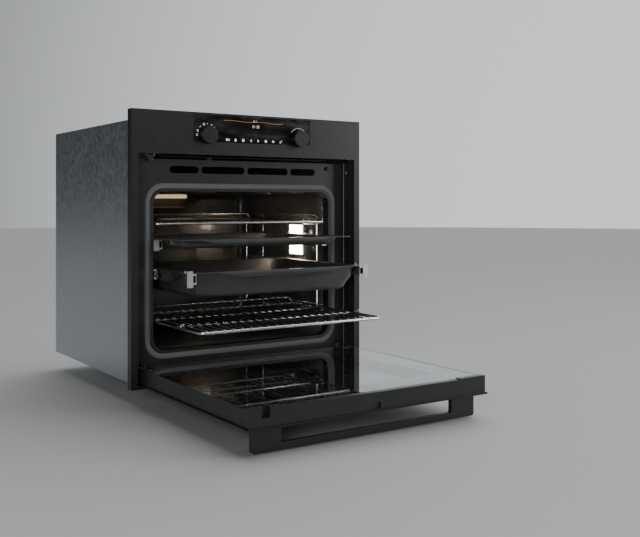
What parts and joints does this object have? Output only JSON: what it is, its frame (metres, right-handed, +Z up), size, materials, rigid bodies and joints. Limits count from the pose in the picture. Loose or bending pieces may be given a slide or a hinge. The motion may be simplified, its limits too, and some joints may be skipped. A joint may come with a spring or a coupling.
{
  "type": "built-in oven",
  "caption": "Built-in single oven for a 600 mm niche, with a drop-down door, two knobs, wire shelves, a tray and a deep pan on telescopic rails.",
  "frame": {"origin": "middle of the casing's underside, where the oven rests on the cabinet shelf", "axes": "+X to the right seen from the front, +Y back into the wall, +Z up; the door opens towards -Y"},
  "size_m": [0.595, 1.0288, 0.632],
  "materials": {
    "black_steel": "satin black powder coat",
    "black_glass": "gloss black glass",
    "knob_black": "matt black",
    "dark_plastic": "matt",
    "circuit": "lacquered board",
    "bright_steel": "bright zinc",
    "dark_steel": "phosphated",
    "gasket": "braided glass fibre",
    "enamel": "dark vitreous enamel",
    "tray_enamel": "dark speckled enamel",
    "heater": "oxidised tube",
    "chrome": "bright chrome wire",
    "rail_steel": "stainless",
    "lamp_glass": "frosted, lit",
    "door_glass": "tinted, black printed border",
    "galvanised": "galvanised sheet",
    "wool": "mineral wool"
  },
  "bodies": {
    "root": {"air_outlet": "dark_plastic", "base_heater": "heater", "blower_housing": "galvanised", "casing_back": "galvanised", "casing_base": "galvanised", "casing_sides": "galvanised", "casing_top": "galvanised", "cavity_back": "enamel", "cavity_floor": "enamel", "cavity_mouth": "enamel", "cavity_roof": "enamel", "cavity_sides": "enamel", "control_glass": "black_glass", "display_module": "circuit", "door_gasket": "gasket", "encoders": "dark_plastic", "face_plate": "black_steel", "fan_cover": "enamel", "fan_motor": "galvanised", "front_frame": "black_steel", "grill_element": "heater", "hinge_arms": "dark_steel", "insulation": "wool", "lock_bracket": "bright_steel", "pan_rails_outer": "rail_steel", "rack_nuts": "bright_steel", "rear_lamp": "lamp_glass", "recess_sides": "black_steel", "ring_heater": "heater", "round_vent": "enamel", "side_lamp_bulb": "lamp_glass", "side_lamp_frame": "chrome", "side_lamp_glass": "lamp_glass", "side_rack_left": "chrome", "side_rack_right": "chrome", "terminal_block": "dark_plastic", "tray_rails_outer": "rail_steel"},
    "door": {"door_panel": "black_glass", "door_sides": "black_steel", "door_top_rail": "black_steel", "inner_glass": "door_glass", "middle_glass": "door_glass", "hinge_channels": "dark_steel", "handle": "black_steel"},
    "knob_left": {"knob_left": "knob_black"},
    "knob_right": {"knob_right": "knob_black"},
    "fan": {"fan_blade": "bright_steel"},
    "cooling_wheel": {"cooling_wheel": "galvanised"},
    "lock_hook": {"lock_hook": "dark_steel"},
    "switch_plunger": {"switch_plunger": "dark_plastic"},
    "hinge_latches": {"hinge_latches": "bright_steel"},
    "top_rack": {"top_rack": "chrome"},
    "bottom_rack": {"bottom_rack": "chrome"},
    "baking_tray": {"baking_tray": "tray_enamel"},
    "pan_rails_middle": {"pan_rails_middle": "rail_steel"},
    "deep_pan": {"pan_rails_inner": "rail_steel", "deep_pan": "tray_enamel"},
    "tray_rails_middle": {"tray_rails_middle": "rail_steel"},
    "tray_rails_inner": {"tray_rails_inner": "rail_steel"}
  },
  "joints": [
    {"name": "door_hinge", "type": "hinge", "parent": "root", "child": "door", "pos_m": [0, -0.279, 0.0172], "axis": [1, 0, 0], "range_deg": [-90, 0]},
    {"name": "bottom_rack_slide", "type": "slide", "parent": "root", "child": "bottom_rack", "axis": [0, -1, 0], "range_m": [-0.245, 0]},
    {"name": "baking_tray_slide", "type": "slide", "parent": "root", "child": "baking_tray", "axis": [0, -1, 0], "range_m": [-0.111, 0]},
    {"name": "pan_rails_middle_slide", "type": "slide", "parent": "root", "child": "pan_rails_middle", "axis": [0, -1, 0], "range_m": [-0.169, 0]},
    {"name": "deep_pan_slide", "type": "slide", "parent": "pan_rails_middle", "child": "deep_pan", "axis": [0, -1, 0], "range_m": [0, 0.17]},
    {"name": "top_rack_slide", "type": "slide", "parent": "root", "child": "top_rack", "axis": [0, -1, 0], "range_m": [0, 0.22]},
    {"name": "tray_rails_inner_slide", "type": "slide", "parent": "root", "child": "tray_rails_inner", "axis": [0, -1, 0], "range_m": [0, 0.339]},
    {"name": "tray_rails_middle_slide", "type": "slide", "parent": "root", "child": "tray_rails_middle", "axis": [0, -1, 0], "range_m": [0, 0.17]},
    {"name": "knob_left_turn", "type": "hinge", "parent": "root", "child": "knob_left", "pos_m": [-0.1195, -0.293, 0.5413], "axis": [0, -1, 0], "range_deg": [-70, 90]},
    {"name": "knob_right_turn", "type": "hinge", "parent": "root", "child": "knob_right", "pos_m": [0.1195, -0.293, 0.5413], "axis": [0, -1, 0], "continuous": true},
    {"name": "fan_spin", "type": "hinge", "parent": "root", "child": "fan", "pos_m": [0, 0.177, 0.254], "axis": [0, -1, 0], "continuous": true},
    {"name": "cooling_wheel_spin", "type": "hinge", "parent": "root", "child": "cooling_wheel", "pos_m": [0, 0.037, 0.496], "axis": [0, 0, 1], "continuous": true},
    {"name": "lock_hook_swing", "type": "hinge", "parent": "root", "child": "lock_hook", "pos_m": [-0.24, -0.258, 0.4948], "axis": [-1, 0, 0], "range_deg": [0, 25]},
    {"name": "switch_plunger_slide", "type": "slide", "parent": "root", "child": "switch_plunger", "axis": [0, -1, 0], "range_m": [-0.0047, 0]},
    {"name": "hinge_latch_turn", "type": "hinge", "parent": "root", "child": "hinge_latches", "pos_m": [0, -0.249, 0.034], "axis": [1, 0, 0], "range_deg": [0, 60]}
  ],
  "couplings": [
    {"joint": "bottom_rack_slide", "follows": "door_hinge", "m_per_rad": 0.15597},
    {"joint": "baking_tray_slide", "follows": "door_hinge", "m_per_rad": 0.070665},
    {"joint": "pan_rails_middle_slide", "follows": "door_hinge", "m_per_rad": 0.10759},
    {"joint": "switch_plunger_slide", "follows": "door_hinge", "m_per_rad": 0.0029921},
    {"joint": "tray_rails_middle_slide", "follows": "tray_rails_inner_slide", "ratio": 0.5}
  ]
}
